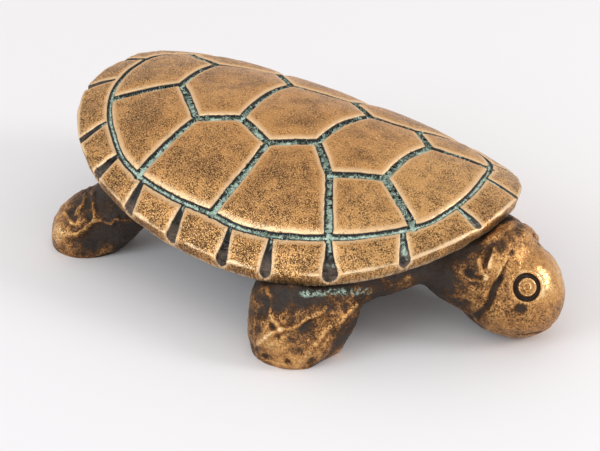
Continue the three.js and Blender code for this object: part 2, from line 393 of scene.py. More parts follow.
def curve_through(points, step=0.8):
    """A smooth line through given points, cut into short steps."""
    points = np.array(points, dtype=float)
    lengths = np.linalg.norm(np.diff(points, axis=0), axis=1)
    parts = [np.linspace(i, i + 1, max(2, int(length / step)), endpoint=False)
             for i, length in enumerate(lengths)]
    return smooth_line(points, np.append(np.concatenate(parts), len(points) - 1.0))[0]


def ring_line():
    """The ring groove's line, closed and softened between the reaches that were measured."""
    angles, reaches = zip(*RING_REACH)
    angles = np.radians(angles)
    steps = np.linspace(0, 2 * np.pi, RING_STEPS)
    reach = np.interp(steps, np.append(angles, angles[0] + 2 * np.pi), reaches + reaches[:1])
    kernel = np.hanning(RING_SOFTENING) / np.hanning(RING_SOFTENING).sum()
    half = RING_SOFTENING // 2
    wrapped = np.concatenate([reach[-half - 1:-1], reach, reach[1:half + 1]])
    return at_reach(steps, np.convolve(wrapped, kernel, "valid"))


def groove(line, start=GROOVE_HALF_WIDTH, end=None, depth=GROOVE_DEPTH, green=1.0, flare=0):
    """A groove along a line: half its width at each end, its depth, its verdigris, and 1 for a notch."""
    return {
        "line": line, "start": start, "end": start if end is None else end,
        "depth": depth, "green": green, "flare": flare,
    }


def bowed(first, last, bow):
    """A line between two corners, bowed towards the head at its middle."""
    middle = ((first[0] + last[0]) / 2 + bow, (first[1] + last[1]) / 2)
    return curve_through((first, middle, last))


def back_grooves():
    """The zigzag on both sides of the five back scutes, and the grooves down the sides and across."""
    found = []
    for side in (0, 1):
        rail = [CORNERS[name][side] for name in (
            "rear", "back 5 to 4", "side of 4", "back 4 to 3", "side of 3",
            "back 3 to 2", "side of 2", "back 2 to 1", "front")]
        found += [groove(curve_through(pair)) for pair in zip(rail, rail[1:])]
        for scute, bow in SIDE_GROOVE_BOW.items():
            line = bowed(CORNERS[f"side of {scute}"][side], CORNERS[f"foot of {scute}"][side], bow)
            found.append(groove(line, end=SIDE_GROOVE_FOOT))
    for name in ("back 5 to 4", "back 4 to 3", "back 3 to 2", "back 2 to 1"):
        found.append(groove(bowed(*CORNERS[name], CROSS_GROOVE_BOW), start=CROSS_GROOVE_HALF_WIDTH))
    return found


def all_grooves():
    found = back_grooves()
    found.append(groove(ring_line(), start=RING_HALF_WIDTH, depth=RING_DEPTH, green=RING_GREEN))
    for start, end, width in RIM_GROOVES:
        beyond = end + unit(np.subtract(end, start)) * RIM_GROOVE_OVERRUN
        green = smoothstep(RIM_GREEN_FROM, RIM_GREEN_TO, start[0])
        found.append(groove(curve_through((start, beyond)), start=RIM_GROOVE_START, end=width,
                            depth=RIM_GROOVE_DEPTH * width, green=green, flare=1))
    return found


def measure_grooves(xy, grooves):
    """For each point: the clear distance from the nearest groove's shoulder (below 0 inside the groove),
    that groove's depth and green, and the nearest point of its line."""
    count = len(xy)
    clear = np.full(count, FAR_FROM_GROOVES)
    depth = np.zeros(count)
    green = np.zeros(count)
    nearest = np.zeros((count, 2))
    wander = 1 + uneven(flat_points(xy), GROOVE_WANDER)
    for g in grooves:
        line = g["line"]
        reach = GROOVE_SEARCH + max(g["start"], g["end"])
        index = np.nonzero(np.all((xy > line.min(0) - reach) & (xy < line.max(0) + reach), axis=1))[0]
        if not len(index):
            continue
        spot = xy[index]
        best = np.full(len(index), np.inf)
        along = np.zeros(len(index))
        foot = np.zeros((len(index), 2))
        lengths = np.concatenate([[0], np.cumsum(np.linalg.norm(np.diff(line, axis=0), axis=1))])
        for i, (a, b) in enumerate(zip(line, line[1:])):
            edge = b - a
            t = np.clip((spot - a) @ edge / (edge @ edge), 0, 1)
            near = a + t[:, None] * edge
            gap = np.hypot(*(spot - near).T)
            closer = gap < best
            best[closer] = gap[closer]
            along[closer] = (lengths[i] + t * (lengths[i + 1] - lengths[i]))[closer] / lengths[-1]
            foot[closer] = near[closer]
        here = best - (g["start"] + (g["end"] - g["start"]) * along) * wander[index]
        better = here < clear[index]
        chosen = index[better]
        along = along[better]
        shallow = g["flare"] * NOTCH_SHALLOW_START * (1 - smoothstep(0, 0.5, along))
        clear[chosen] = here[better]
        depth[chosen] = g["depth"] * (1 - shallow)
        green[chosen] = g["green"] - g["flare"] * NOTCH_GREEN_LOSS * along
        nearest[chosen] = foot[better]
    return clear, depth, green, nearest


def even_disc(rings):
    """A flat round disc of radius 1 in even triangles, widened from a hexagon of that many rings."""
    bm = bmesh.new()
    bmesh.ops.create_circle(bm, cap_ends=True, cap_tris=True, segments=6, radius=1.0)
    bmesh.ops.subdivide_edges(bm, edges=bm.edges[:], cuts=rings - 1, use_grid_fill=True)
    sixth = math.pi / 3
    for vert in bm.verts:
        turn = (math.atan2(vert.co.y, vert.co.x) + sixth / 2) % sixth - sixth / 2
        vert.co *= math.cos(turn) / math.cos(sixth / 2)
    return bm


def coordinates(bm):
    return np.array([vert.co[:] for vert in bm.verts])


def place(bm, points):
    for vert, point in zip(bm.verts, points):
        vert.co = point


def stretch_to_outline(bm):
    """Draws a round disc out to the shell's outline, so that each point keeps its reach."""
    x, y, _ = coordinates(bm).T
    wide = np.column_stack([x * np.where(x > 0, SHELL_FRONT, SHELL_REAR), y * SHELL_HALF_WIDTH])
    now = np.maximum(reach_of(*wide.T), 1e-6)
    place(bm, flat_points(wide * (np.hypot(x, y) / now)[:, None]))


def halve_edges(bm, chosen):
    """Halves each edge with a chosen point at an end."""
    bm.verts.index_update()
    edges = [e for e in bm.edges if chosen[e.verts[0].index] or chosen[e.verts[1].index]]
    bmesh.ops.subdivide_edges(bm, edges=edges, cuts=1, use_grid_fill=True)
    bmesh.ops.triangulate(bm, faces=bm.faces[:])


def draw_onto_walls(xy, grooves):
    """Slides the points beside a groove's shoulder or floor edge onto it, so that its walls are crisp."""
    clear, _, _, nearest = measure_grooves(xy, grooves)
    away = xy - nearest
    gap = np.maximum(np.hypot(*away.T), 1e-6)
    for level in (0.0, -GROOVE_WALL):
        miss = level - clear
        slide = np.where((np.abs(miss) < WALL_SLACK) & (gap > 0.2), miss, 0)
        xy = xy + away * (slide / gap)[:, None]
    return xy


def shell_top(xy, below, grooves):
    """The height of the bare top, how deep its grooves go, and what the finish needs to know.

    Below counts the millimetres under the crease, where the rim's grooves come to a round end."""
    clear, depth, green, _ = measure_grooves(xy, grooves)
    clear = clear + NOTCH_END_ROUNDNESS * below**2
    x, y = xy.T
    flat = flat_points(xy)
    reach = reach_of(x, y)
    outside = np.maximum(clear, 0)
    crown = SCUTE_CROWN * (1 - np.exp(-outside / SCUTE_CROWN_REACH)) * (1 - smoothstep(*CROWN_FADE, reach))
    shoulder = SHOULDER_DROP * np.exp(-outside / SHOULDER_REACH)
    height = rim_height(x, y) + dome_rise(reach) + crown - shoulder + uneven(flat, SCUTE_DENTS)
    wall = 1 - smoothstep(-GROOVE_WALL, WALL_TOP, clear)
    floor = uneven(flat, GROOVE_FLOOR_GRAIN) * (clear < -GROOVE_WALL)
    sink = depth * wall * (1 + uneven(flat, GROOVE_DEPTH_WANDER)) + floor
    return height, sink, clear, green, reach


# The rim below the crease, then the lip and the dish under it: reach, and millimetres from the rim.
RIM_PROFILE = (
    (1.003, -0.4), (1.002, -0.8), (1.001, -1.2), (0.999, -1.6), (0.997, -2.0),
    (0.994, -2.4), (0.989, -2.85), (0.981, -3.3), (0.971, -3.65), (0.957, -3.8),
    (0.935, -3.8), (0.905, -3.75), (0.888, -3.2), (0.876, -2.0), (0.86, -1.15),
    (0.75, 0.1), (0.55, 2.0), (0.3, 3.5), (0.08, 4.1),
)
# Its first rows are the filed band. One radian round the shell is about this long there.
BAND_ROWS = 10
BAND_RADIAN = 45.0


def shell_form(grooves):
    """The bare top as a disc, fine near the grooves and drawn onto their walls."""
    bm = even_disc(DISC_RINGS)
    stretch_to_outline(bm)
    for inner, outer in HALVED_NEAR_GROOVES:
        clear = measure_grooves(coordinates(bm)[:, :2], grooves)[0]
        halve_edges(bm, (clear > inner) & (clear < outer))
    xy = coordinates(bm)[:, :2]
    edge = np.array([vert.is_boundary for vert in bm.verts])
    drawn = draw_onto_walls(xy, grooves)
    place(bm, flat_points(np.where(edge[:, None], xy, drawn)))
    return bm


def add_rim_and_underside(bm):
    """Draws the disc's edge down and in, row by row, and closes it. Each point keeps its row's number."""
    row_of = bm.verts.layers.int.new("row")
    for number, (reach, _) in enumerate(RIM_PROFILE, start=1):
        edges = [e for e in bm.edges if e.is_boundary]
        made = bmesh.ops.extrude_edge_only(bm, edges=edges)["geom"]
        before = RIM_PROFILE[number - 2][0] if number > 1 else 1.0
        for vert in (g for g in made if isinstance(g, bmesh.types.BMVert)):
            vert[row_of] = number
            vert.co.x *= reach / before
            vert.co.y *= reach / before
    lid = bmesh.ops.holes_fill(bm, edges=[e for e in bm.edges if e.is_boundary], sides=0)["faces"]
    for vert in bmesh.ops.poke(bm, faces=lid)["verts"]:
        vert[row_of] = len(RIM_PROFILE)
    bmesh.ops.triangulate(bm, faces=bm.faces[:])
    return np.array([vert[row_of] for vert in bm.verts])


def face_outward(bm):
    bmesh.ops.recalc_face_normals(bm, faces=bm.faces[:])
    if bm.calc_volume(signed=True) < 0:
        bmesh.ops.reverse_faces(bm, faces=bm.faces[:])


def finished_mesh(bm, name, points, attributes):
    """A mesh object at the origin, its faces outward and smooth, with the finish's numbers on its points."""
    place(bm, points * MM)
    face_outward(bm)
    for face in bm.faces:
        face.smooth = True
    mesh = bpy.data.meshes.new(name)
    bm.to_mesh(mesh)
    bm.free()
    for key, values in attributes.items():
        kind, field = ("FLOAT_VECTOR", "vector") if values.ndim == 2 else ("FLOAT", "value")
        made = mesh.attributes.new(key, kind, "POINT")
        made.data.foreach_set(field, values.astype(np.float32).ravel())
    piece = bpy.data.objects.new(name, mesh)
    bpy.context.collection.objects.link(piece)
    return piece


def outward_normals(bm, points):
    place(bm, points)
    face_outward(bm)
    bm.normal_update()
    return np.array([vert.normal[:] for vert in bm.verts])


def shell_casting():
    """The domed shell: a grooved top, a filed band round its edge, a lip and a dish under it."""
    grooves = all_grooves()
    bm = shell_form(grooves)
    rows = add_rim_and_underside(bm)
    x, y, _ = coordinates(bm).T
    drops = np.array([0.0] + [drop for _, drop in RIM_PROFILE])[rows]
    on_top = rows == 0
    on_band = rows <= BAND_ROWS
    below = np.where(on_band, -drops, FAR_FROM_GROOVES)
    height, sink, clear, green, reach = shell_top(np.column_stack([x, y]), below, grooves)
    bare = np.column_stack([x, y, np.where(on_top, height, rim_height(x, y) + drops)])
    from_crease = np.where(on_top, np.maximum(1 - reach, 0) * SHELL_HALF_WIDTH, below)
    lip = np.exp(-from_crease / LIP_WIDTH) * (LIP_EVENNESS + uneven(flat_points(bare[:, :2]), LIP_WEAR))
    wavy = np.where(on_top, smoothstep(RIM_WAVES_FROM, 1.0, reach), rows < BAND_ROWS + RIM_WAVE_ROWS)
    rise = LIP_HEIGHT * lip + uneven(bare, RIM_WAVES) * wavy - sink
    carved = bare + outward_normals(bm, bare) * rise[:, None] + (SHELL_MIDDLE_X, 0, 0)
    around = np.arctan2(y, x) * BAND_RADIAN
    return finished_mesh(bm, "shell_casting", carved, {
        "clear": np.clip(clear, -2, 6),
        "reach": reach,
        "green": green,
        "lip": lip,
        "lower_lip_highlight": smoothstep(*LOWER_LIP_HIGHLIGHT, below) * on_band,
        "polish_and_sheen": smoothstep(*BRIGHTER_FRONT, x) + 0.5 * smoothstep(*BRIGHTER_REAR, x),
        "band": smoothstep(*BAND_TOP, below) * (1 - smoothstep(*BAND_FOOT, below)),
        "painted_shade_under": smoothstep(BAND_ROWS - 0.5, BAND_ROWS + 1.5, rows),
        "strip": np.column_stack([around, carved[:, 2], np.zeros(len(around))]),
    })


def dish_rise(reach):
    """The height of the shell's underside over its rim."""
    rows = RIM_PROFILE[BAND_ROWS - 1:]
    return np.interp(-reach, [-row[0] for row in rows], [row[1] for row in rows])


def ceiling(x, y):
    """The height that the body stays under: a seam below the shell, and open beyond its rim."""
    x = x - SHELL_MIDDLE_X
    reach = reach_of(x, y)
    opening = OPEN_SLOPE * np.maximum(0, reach - OPEN_FROM_REACH)
    return rim_height(x, y) + dish_rise(reach) - SEAM_GAP + opening


def add_limb(bm, sections, side=1):
    """A ball drawn out along a line of oval sections, with a round cap at each end."""
    verts = bmesh.ops.create_icosphere(bm, subdivisions=5, radius=1)["verts"]
    ball = np.array([vert.co[:] for vert in verts])
    sections = np.array(sections, dtype=float)
    at = (1 - ball[:, 1]) / 2 * (len(sections) - 1)
    centre, ahead = smooth_line(sections[:, :3], at)
    ahead /= np.linalg.norm(ahead, axis=1)[:, None]
    across = np.column_stack([-ahead[:, 1], ahead[:, 0], np.zeros(len(at))])
    across /= np.linalg.norm(across, axis=1)[:, None]
    upward = np.cross(ahead, across)
    around = np.arctan2(ball[:, 2], ball[:, 0])
    cap = np.maximum(0, 1 - ball[:, 1]**2) ** (CAP_ROUNDNESS / 2)
    steps = np.arange(len(sections))
    width = np.interp(at, steps, sections[:, 3]) * cap * np.cos(around)
    depth = np.interp(at, steps, sections[:, 4]) * cap * np.sin(around)
    drawn = centre + across * width[:, None] + upward * depth[:, None]
    for vert, (x, y, z) in zip(verts, drawn):
        vert.co = (x + CENTRING, y * side, z)


def add_oval(bm, centre, half, lean):
    verts = bmesh.ops.create_icosphere(bm, subdivisions=5, radius=1)["verts"]
    bmesh.ops.scale(bm, verts=verts, vec=half)
    bmesh.ops.rotate(bm, verts=verts, matrix=Matrix.Rotation(math.radians(lean), 3, "Y"))
    bmesh.ops.translate(bm, verts=verts, vec=Vector(centre) + Vector((CENTRING, 0, 0)))


def add_trunk(bm):
    """A ball flattened into the shell's dish above and into the belly below."""
    verts = bmesh.ops.create_icosphere(bm, subdivisions=6, radius=1)["verts"]
    ball = np.array([vert.co[:] for vert in verts])
    down = np.arccos(np.clip(ball[:, 2], -1, 1)) / np.pi
    parts, reaches, heights = zip(*TRUNK_SIDE)
    reach = np.where(down < parts[0], down / parts[0] * TRUNK_SIDE_REACH, np.interp(down, parts, reaches))
    xy = at_reach(np.arctan2(ball[:, 1], ball[:, 0]), reach)
    x, y = xy[:, 0] + SHELL_MIDDLE_X, xy[:, 1]
    side = np.clip((down - parts[0]) / (parts[1] - parts[0]), 0, 1)
    z = (1 - side) * ceiling(x, y) + side * np.interp(down, parts, heights)
    for vert, point in zip(verts, zip(x, y, z)):
        vert.co = point


def body_forms():
    """The limbs, head and trunk, flat where they stand and kept out of the shell."""
    bm = bmesh.new()
    for side in (1, -1):
        for sections in (FRONT_LEG, REAR_LEG, SHOULDER):
            add_limb(bm, sections, side)
    add_limb(bm, NECK)
    add_oval(bm, *HEAD)
    add_oval(bm, *COLLAR)
    add_trunk(bm)
    points = coordinates(bm)
    points[:, 2] = np.clip(points[:, 2], -SOLE_ALLOWANCE, ceiling(points[:, 0], points[:, 1]))
    place(bm, points)
    return bm


def stand(bm):
    """Cuts the feet off level at the ground and closes the soles."""
    bmesh.ops.bisect_plane(bm, geom=bm.verts[:] + bm.edges[:] + bm.faces[:], plane_co=(0, 0, 0),
                           plane_no=(0, 0, 1), clear_inner=True)
    bmesh.ops.holes_fill(bm, edges=[e for e in bm.edges if e.is_boundary], sides=0)
    bmesh.ops.triangulate(bm, faces=bm.faces[:])


def one_skin(bm, size):
    """The forms in bm melted into one closed skin of even faces."""
    mesh = bpy.data.meshes.new("forms")
    bm.to_mesh(mesh)
    bm.free()
    forms = bpy.data.objects.new("forms", mesh)
    bpy.context.collection.objects.link(forms)
    melt = forms.modifiers.new("one_skin", "REMESH")
    melt.mode = "VOXEL"
    melt.voxel_size = size
    melted = forms.evaluated_get(bpy.context.evaluated_depsgraph_get())
    skin = bmesh.new()
    skin.from_mesh(melted.to_mesh())
    melted.to_mesh_clear()
    bpy.data.objects.remove(forms)
    bpy.data.meshes.remove(mesh)
    for _ in range(SKIN_SMOOTHINGS):
        bmesh.ops.smooth_vert(skin, verts=skin.verts[:], factor=0.5,
                              use_axis_x=True, use_axis_y=True, use_axis_z=True)
    bmesh.ops.triangulate(skin, faces=skin.faces[:])
    return skin


def to_right(points):
    """What each point is multiplied by to lie on the turtle's right, and again to go back."""
    return np.where(points[:, 1:2] > 0, (1, -1, 1), 1)


def in_detail(points):
    """Whether each point is on the head, the neck's folds or a leg, where the casting has fine forms."""
    x, y, _ = points.T
    on_leg = (reach_of(x - SHELL_MIDDLE_X, y) > LEG_DETAIL_REACH) & (np.abs(y) > LEG_DETAIL_SIDE)
    return (x > HEAD_DETAIL_FROM) | on_leg


def near_eyes(points, radius):
    return np.any([np.linalg.norm(points - centre, axis=1) < radius for centre, _ in EYES], axis=0)


def line_distance(points, line):
    best = np.full(len(points), np.inf)
    for a, b in zip(line, line[1:]):
        edge = b - a
        t = np.clip((points - a) @ edge / (edge @ edge), 0, 1)
        best = np.minimum(best, np.linalg.norm(points - a - t[:, None] * edge, axis=1))
    return best


def settled(places, skin):
    """The places, each moved to the nearest point of the skin."""
    return np.array([skin[np.argmin(((skin - place) ** 2).sum(axis=1))] for place in np.array(places)])


def sculpt_features(points, rise, wear_and_painted_light):
    """Adds the folds, creases, knobs and hollows to each point's rise and wear: painted highlights along the
    bright folds and on the front of the head, painted shade in the wide dark spots under the rim.
    """
    skin = points[points[:, 1] <= 3]
    wobble = [lumps(points, FEATURE_WOBBLE_SIZE, seed) for seed in FEATURE_WOBBLE_SEEDS]
    right = points * to_right(points) + FEATURE_WOBBLE * np.column_stack(wobble)
    for line, width, height, shine in LEG_LINES + NECK_LINES:
        near = np.clip(1 - line_distance(right, curve_through(settled(line, skin), 1.2)) / width, 0, 1)
        rise += height * near**1.15
        wear_and_painted_light += shine * (1.25 * smoothstep(0.35, 0.9, near) if shine > 0 else smoothstep(0.1, 0.8, near))
    for centre, radius, height, shine in LEG_SPOTS + NECK_SPOTS:
        near = 1 - smoothstep(0.35, 1, np.linalg.norm(right - settled([centre], skin), axis=1) / radius)
        rise += height * near
        wear_and_painted_light += shine * near


def press_flats(points):
    """Presses the points that stand out past each flat back to it, less and less towards its radius."""
    mirror = to_right(points)
    right = points * mirror
    for middle, radius, facing in LEG_FLATS:
        away = right - middle
        past = np.maximum(away @ unit(facing) + FLAT_SOFTNESS, 0)
        near = 1 - smoothstep(0.6, 1, np.linalg.norm(away, axis=1) / radius)
        right = right - unit(facing) * (past**2 / (past + FLAT_SOFTNESS) * near)[:, None]
    return right * mirror


def carve_eyes(points, wear_and_painted_light):
    """How far each point moves for the ring, disc and dimple of the eye it is in, if any."""
    moves = np.zeros_like(points)
    radii, rises, shines = zip(*EYE_PROFILE)
    for centre, facing in EYES:
        facing = unit(facing)
        away = points - settled([centre], points)
        height = away @ facing
        radius = np.linalg.norm(away - height[:, None] * facing, axis=1)
        here = np.abs(height) < EYE_REACH
        moves += np.where(here, np.interp(radius, radii, rises, right=0), 0)[:, None] * facing
        wear_and_painted_light += np.where(here, np.interp(radius, radii, shines, right=0), 0)
    return moves


def cast_skin(points):
    """The rise and wear of the bare casting: rough with worn ridges, but smoother on the head."""
    head = smoothstep(*HEAD_STARTS, points[:, 0])
    rough_part = 1 - HEAD_SMOOTHNESS * head
    relief = uneven(points, BODY_RELIEF)
    ridged = RIDGE_LEVEL - np.abs(uneven(points, BODY_RIDGES))
    rise = rough_part * (0.2 * relief + 0.3 * ridged) + head * 0.07 * relief
    wear_and_painted_light = rough_part * (0.6 * relief + 0.8 * ridged) + 0.15 * relief - 0.25 * rough_part
    return rise, wear_and_painted_light, head


def body_casting():
    """The trunk, legs, neck and head in one skin, with its folds, file marks, eyes and dark hollows, and
    painted shade under the shell's rim.
    """
    bm = one_skin(body_forms(), SKIN_SIZE)
    stand(bm)
    halve_edges(bm, in_detail(coordinates(bm)))
    for radius in EYE_DETAIL_RADII:
        halve_edges(bm, near_eyes(coordinates(bm), radius))
    points = press_flats(coordinates(bm))
    normals = outward_normals(bm, points)
    x, y, z = points.T
    rise, wear_and_painted_light, head = cast_skin(points)
    sculpt_features(points, rise, wear_and_painted_light)
    # Painted shade: darker under the shell's rim and in the seam below it.
    shade_under_rim = 1 - smoothstep(*PAINTED_SHADE_UNDER_RIM, reach_of(x - SHELL_MIDDLE_X, y))
    clearance = ceiling(x, y) - z
    wear_and_painted_light -= 1.1 * shade_under_rim + 0.9 * (1 - smoothstep(*PAINTED_SHADE_IN_SEAM, clearance))
    wear_and_painted_light = np.maximum(wear_and_painted_light, DARKEST_WEAR_AND_SHADE) + 0.22 * head
    rise *= smoothstep(*RELIEF_FADE, z) * smoothstep(*RELIEF_FADE, clearance)
    points = points + normals * rise[:, None] + carve_eyes(points, wear_and_painted_light)
    points[:, 2] = np.maximum(np.minimum(points[:, 2], ceiling(points[:, 0], points[:, 1])), 0)
    right = points * to_right(points)
    verdigris = line_distance(right, settled(ARM_VERDIGRIS, right))
    x, y, z = right.T
    return finished_mesh(bm, "body_casting", points, {
        "wear_and_painted_light": wear_and_painted_light,
        "green": 1 - smoothstep(VERDIGRIS_CORE, VERDIGRIS_EDGE, verdigris),
        "filed": 1 - smoothstep(3.5, 7.0, np.linalg.norm(right - LEG_FLATS[0][0], axis=1)),
        "polish_and_sheen": 1 - smoothstep(3, 11, np.linalg.norm(points - BROW, axis=1)),
        "strip": np.column_stack([x * 0.81 + y * 0.58, z - 0.18 * x, y]),
    })


# Colours as the shaders take them.
WORN_BRONZE = (0.60, 0.305, 0.110)
BRIGHT_BRONZE = (0.88, 0.54, 0.22)
EDGE_BRONZE_AND_HIGHLIGHT = (0.95, 0.69, 0.42)
BROWN_PATINA = (0.22, 0.10, 0.042)
PIT_AND_SHADE_BROWN = (0.066, 0.033, 0.016)
BLACK_PATINA = (0.016, 0.018, 0.017)
GREY_PATINA = (0.15, 0.105, 0.075)
VERDIGRIS = (0.33, 0.50, 0.38)
PALE_VERDIGRIS = (0.64, 0.80, 0.68)
TO_MILLIMETRES = 1000.0


class Finish:
    """A material's node tree, with short words for the nodes that the finishes here are built from."""

    def __init__(self, name):
        self.material = bpy.data.materials.new(name)
        self.material.use_nodes = True
        self.nodes = self.material.node_tree.nodes
        self.links = self.material.node_tree.links
        self.shader = self.nodes["Principled BSDF"]
        where = self.nodes.new("ShaderNodeTexCoord")
        scale = self.nodes.new("ShaderNodeVectorMath")
        scale.operation = "SCALE"
        scale.inputs["Scale"].default_value = TO_MILLIMETRES
        self.links.new(where.outputs["Object"], scale.inputs[0])
        self.place = scale.outputs[0]

    def feed(self, socket, value):
        if isinstance(value, bpy.types.NodeSocket):
            self.links.new(value, socket)
        else:
            socket.default_value = value

    def stored(self, name, output="Fac"):
        """What the piece's points hold under this name."""
        node = self.nodes.new("ShaderNodeAttribute")
        node.attribute_name = name
        return node.outputs[output]

    def grain(self, size, detail, roughness, where=None):
        """Noise whose lumps are about that many millimetres across."""
        node = self.nodes.new("ShaderNodeTexNoise")
        node.inputs["Scale"].default_value = 1 / size
        node.inputs["Detail"].default_value = detail
        node.inputs["Roughness"].default_value = roughness
        self.links.new(where or self.place, node.inputs["Vector"])
        return node.outputs["Fac"]

    def stretched(self, name, scale):
        """A stored vector, each part scaled by its own amount."""
        node = self.nodes.new("ShaderNodeVectorMath")
        node.operation = "MULTIPLY"
        node.inputs[1].default_value = scale
        self.links.new(self.stored(name, "Vector"), node.inputs[0])
        return node.outputs[0]

    def ramp(self, value, low, high, start=0.0, end=1.0):
        """Goes smoothly from start to end as the value goes from low to high."""
        node = self.nodes.new("ShaderNodeMapRange")
        node.interpolation_type = "SMOOTHSTEP"
        for key, number in (("From Min", low), ("From Max", high), ("To Min", start), ("To Max", end)):
            node.inputs[key].default_value = number
        self.feed(node.inputs["Value"], value)
        return node.outputs["Result"]

    def worked_out(self, operation, a, b):
        node = self.nodes.new("ShaderNodeMath")
        node.operation = operation
        self.feed(node.inputs[0], a)
        self.feed(node.inputs[1], b)
        return node.outputs[0]

    def plus(self, a, b):
        return self.worked_out("ADD", a, b)

    def minus(self, a, b):
        return self.worked_out("SUBTRACT", a, b)

    def times(self, a, b):
        return self.worked_out("MULTIPLY", a, b)

    def larger(self, a, b):
        return self.worked_out("MAXIMUM", a, b)

    def blend(self, amount, a, b):
        node = self.nodes.new("ShaderNodeMix")
        node.data_type = "RGBA"
        self.feed(node.inputs["Factor"], amount)
        for key, value in (("A", a), ("B", b)):
            socket = [i for i in node.inputs if i.name == key and i.type == "RGBA"][0]
            self.feed(socket, (*value, 1.0) if isinstance(value, tuple) else value)
        return [o for o in node.outputs if o.type == "RGBA"][0]

    def shades(self, value, stops):
        node = self.nodes.new("ShaderNodeValToRGB")
        elements = node.color_ramp.elements
        for _ in range(len(stops) - 2):
            elements.new(0.5)
        for element, (spot, colour) in zip(elements, stops):
            element.position = spot
            element.color = (*colour, 1.0)
        self.feed(node.inputs["Fac"], value)
        return node.outputs["Color"]

    def bumps(self, height, depth, below=None):
        """Fine relief that many millimetres deep, on top of the relief below it."""
        node = self.nodes.new("ShaderNodeBump")
        node.inputs["Strength"].default_value = 1.0
        node.inputs["Distance"].default_value = depth * MM
        self.feed(node.inputs["Height"], height)
        if below is not None:
            self.links.new(below, node.inputs["Normal"])
        return node.outputs["Normal"]

    def end(self, colour, metallic, roughness, normal):
        self.feed(self.shader.inputs["Base Color"], colour)
        self.feed(self.shader.inputs["Metallic"], metallic)
        self.feed(self.shader.inputs["Roughness"], roughness)
        self.links.new(normal, self.shader.inputs["Normal"])
        return self.material


def scute_metal(f, clear, reach, speck, patch):
    """Worn bronze with brown tarnish, ends brightened as worn polish and painted highlight, casting pits and
    bright specks. Also its pits.
    """
    blotch = f.grain(7.5, 4.0, 0.6)
    tarnish = f.times(f.ramp(blotch, 0.38, 0.62), f.ramp(clear, 0.8, 3.8))
    metal = f.blend(f.times(tarnish, 0.7), WORN_BRONZE, BROWN_PATINA)
    # Brighter towards the shell's ends, as worn polish and painted highlight.
    polish_and_sheen = f.times(f.stored("polish_and_sheen"), 0.36)
    metal = f.blend(f.times(polish_and_sheen, f.ramp(blotch, 0.62, 0.42, 0.5, 1.0)), metal, BRIGHT_BRONZE)
    density = f.plus(f.ramp(reach, 0.25, 0.8, -0.045, 0.03), f.ramp(patch, 0.32, 0.68, -0.06, 0.05))
    density = f.plus(density, f.ramp(clear, 0.1, 1.6, -0.09, 0.0))
    density = f.minus(density, f.times(polish_and_sheen, 0.06))
    pits = f.ramp(f.plus(speck, density), 0.52, 0.62)
    metal = f.blend(f.times(pits, 0.84), metal, PIT_AND_SHADE_BROWN)
    metal = f.blend(f.ramp(speck, 0.50, 0.35, 0.0, 0.75), metal, BRIGHT_BRONZE)
    on_rim = f.ramp(reach, 0.84, 0.90, -0.14, -0.01)
    rim_pits = f.ramp(f.plus(f.grain(0.55, 3.0, 0.6), on_rim), 0.54, 0.60)
    return f.blend(f.times(rim_pits, 0.8), metal, PIT_AND_SHADE_BROWN), pits


def rim_metal(f, metal, clear, lip):
    """The metal with its edges brightened as worn metal and painted highlight, a filed band, and a dark
    underside of painted shade. Also its file marks.
    """
    # Worn metal and painted highlight: the groove shoulders, the lip on the crease and the band's lower lip
    # are brightened.
    edge = f.larger(f.ramp(clear, 1.2, 0.1, 0.0, 0.75), f.ramp(lip, 0.25, 0.7))
    edge = f.larger(edge, f.times(f.stored("lower_lip_highlight"), 0.8))
    metal = f.blend(edge, metal, EDGE_BRONZE_AND_HIGHLIGHT)
    filing = f.grain(1.0, 3.0, 0.55, f.stretched("strip", (1.9, 0.22, 1.0)))
    on_band = f.times(f.stored("band"), f.ramp(lip, 0.3, 0.7, 1.0, 0.0))
    metal = f.blend(f.times(on_band, f.ramp(filing, 0.47, 0.64, 0.0, 0.75)), metal, BROWN_PATINA)
    # Painted shade: the lip and dish under the band are darkened.
    metal = f.blend(f.times(f.stored("painted_shade_under"), 0.85), metal, PIT_AND_SHADE_BROWN)
    return metal, f.times(filing, on_band)


def groove_filling(f, clear, reach, speck, patch):
    """Black patina in the grooves, greyer towards the rim, with a crust of verdigris on their floors."""
    notch = f.times(f.ramp(reach, 0.90, 1.0), f.ramp(patch, 0.3, 0.6))
    dark = f.blend(notch, BLACK_PATINA, GREY_PATINA)
    spread = f.plus(f.times(patch, 0.65), f.times(f.grain(0.8, 3.0, 0.6), 0.35))
    crust = f.ramp(f.plus(spread, f.times(f.stored("green"), 0.34)), 0.43, 0.62)
    floor = f.ramp(f.plus(clear, f.ramp(speck, 0.3, 0.7, -0.16, 0.16)), -0.32, -0.52)
    verdigris = f.blend(f.ramp(f.grain(0.6, 2.0, 0.5), 0.36, 0.58), VERDIGRIS, PALE_VERDIGRIS)
    return f.blend(f.times(floor, crust), dark, verdigris)


def shell_bronze():
    f = Finish("shell_bronze")
    clear = f.stored("clear")
    reach = f.stored("reach")
    lip = f.stored("lip")
    speck = f.grain(0.27, 3.0, 0.6)
    patch = f.grain(2.4, 3.0, 0.55)
    metal, pits = scute_metal(f, clear, reach, speck, patch)
    metal, file_marks = rim_metal(f, metal, clear, lip)
    inside = f.ramp(clear, 0.06, -0.08)
    colour = f.blend(inside, metal, groove_filling(f, clear, reach, speck, patch))
    metallic = f.ramp(inside, 0.0, 0.8, 0.93, 0.0)
    roughness = f.plus(f.ramp(inside, 0.0, 0.8, 0.38, 0.72), f.ramp(speck, 0.4, 0.7, -0.06, 0.18))
    normal = f.bumps(f.times(pits, -1.0), 0.10)
    normal = f.bumps(f.grain(0.2, 2.0, 0.6), 0.07, normal)
    normal = f.bumps(file_marks, 0.25, normal)
    return f.end(colour, metallic, roughness, normal)


